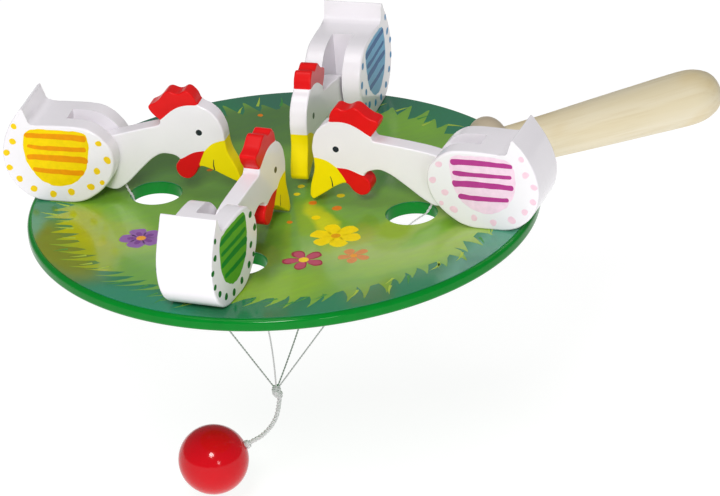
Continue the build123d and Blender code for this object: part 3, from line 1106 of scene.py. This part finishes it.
def build_cord():
    """The pull cord from the hitch at the knot into the ball, and the collar where it goes in."""
    knot = swing_point(*KNOT)
    centre, towards = ball_frame()
    route = [swing_point(*p) for p in CORD_PATH]
    first = (route[0] - knot).normalized()
    route[0] = knot + first * (HITCH_R + CORD_CLEAR)
    route.append(centre + towards * (BALL_R - CORD_IN_BALL))
    line = resample(spline_points("cord_route", route, 40), 0.0004)
    cord = strands("pull_cord_twist", line, 0.00044, 3, 0.00043, 0.0042, 10)
    dress(cord, [COTTON], "ball_on_cord", "string", "pull_cord")
    collar = knot_mesh("ball_collar_yarn", centre + towards * (BALL_R + 0.75), towards, 1.25, 3, 0.42, 1.5, 2)
    dress(collar, [COTTON], "ball_on_cord", "string", "ball_collar")
    hitch = knot_mesh("cord_hitch_yarn", knot + first * 1.7, first, 1.25, 4, 0.4, 2.4, 9)
    dress(hitch, [COTTON], "hitch", "string", "cord_hitch")


build_board()
build_print()
build_handle()
for number, hen in enumerate(HENS):
    build_body(hen, number)
    build_head(hen)
build_strings()
build_cord()
build_ball()
for node in ["hen_screws"] + [f"{n}_pin" for n in HENS]:
    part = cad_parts[node]
    part.data.materials.clear()
    part.data.materials.append(STEEL)


# ---- studio -------------------------------------------------------------------------------------
def studio_material():
    """Paper that glows a little, so that it renders near white."""
    n = Nodes("studio_paper")
    n.set(Base_Color=(0.25, 0.25, 0.25, 1.0), Roughness=0.95, Emission_Color=(1.0, 1.0, 1.0, 1.0),
          Emission_Strength=0.88)
    return n.material


def build_studio():
    """A pale floor just below the lowest pose of the ball, even light all round, and three soft lamps."""
    low = CAD_BOX[0].z - 0.009  # the knot can be pulled 8 mm down, and the ball stays clear
    bm = bmesh.new()
    corners = [bm.verts.new((x, y, low)) for x, y in ((-6, -6), (6, -6), (6, 6), (-6, 6))]
    bm.faces.new(corners)
    mesh = bpy.data.meshes.new("studio_floor")
    bm.to_mesh(mesh)
    bm.free()
    floor = new_object("studio_floor", mesh)
    mesh.materials.append(studio_material())

    world = bpy.data.worlds.new("studio")
    bpy.context.scene.world = world
    world.use_nodes = True
    world.node_tree.nodes["Background"].inputs[0].default_value = (1.0, 1.0, 1.0, 1.0)
    world.node_tree.nodes["Background"].inputs[1].default_value = 0.26

    middle = Vector((BOARD_X * MM, 0, 0.01))
    # name, direction to the light (azimuth from the camera's side, height), size, power
    for name, azimuth, height, size, power in (
        ("key", -9, 38, 0.34, 8.8),
        ("top", -60, 76, 0.7, 3.6),
        ("low", 15, 9, 0.2, 1.3),
    ):
        light = bpy.data.lights.new(name, "AREA")
        light.shape = "DISK"
        light.size = size
        light.energy = power
        lamp = bpy.data.objects.new(name, light)
        bpy.context.scene.collection.objects.link(lamp)
        a = math.radians(azimuth) + SWING_BEARING - math.pi / 2
        h = math.radians(height)
        way = Vector((math.cos(a) * math.cos(h), math.sin(a) * math.cos(h), math.sin(h)))
        lamp.location = middle + way * 1.3
        lamp.rotation_mode = "QUATERNION"
        lamp.rotation_quaternion = way.to_track_quat("Z", "Y")


def build_camera():
    """A long lens from 26 degrees up, turned a little about its own axis."""
    lens_mm = 715.3
    shift = (0.1062, -0.0626)
    distance = 5.0
    height = math.radians(26.22)
    roll = math.radians(4.79)
    away = Vector((-math.sin(SWING_BEARING), math.cos(SWING_BEARING), 0))
    right = Vector((math.cos(SWING_BEARING), math.sin(SWING_BEARING), 0))
    ahead = away * math.cos(height) - Vector((0, 0, 1)) * math.sin(height)
    up = right.cross(ahead)
    frame_right = right * math.cos(roll) - up * math.sin(roll)
    frame_up = right * math.sin(roll) + up * math.cos(roll)
    data = bpy.data.cameras.new("camera")
    data.lens = lens_mm
    data.sensor_width = 36.0
    data.shift_x, data.shift_y = shift
    data.clip_end = 50
    camera = bpy.data.objects.new("camera", data)
    bpy.context.scene.collection.objects.link(camera)
    centre = Vector((BOARD_X, 0, TOP)) * MM
    matrix = Matrix((frame_right, frame_up, -ahead)).transposed().to_4x4()
    matrix.translation = centre - ahead * distance
    camera.matrix_world = matrix
    bpy.context.scene.camera = camera


build_studio()
build_camera()
bpy.context.scene.view_settings.view_transform = "Standard"
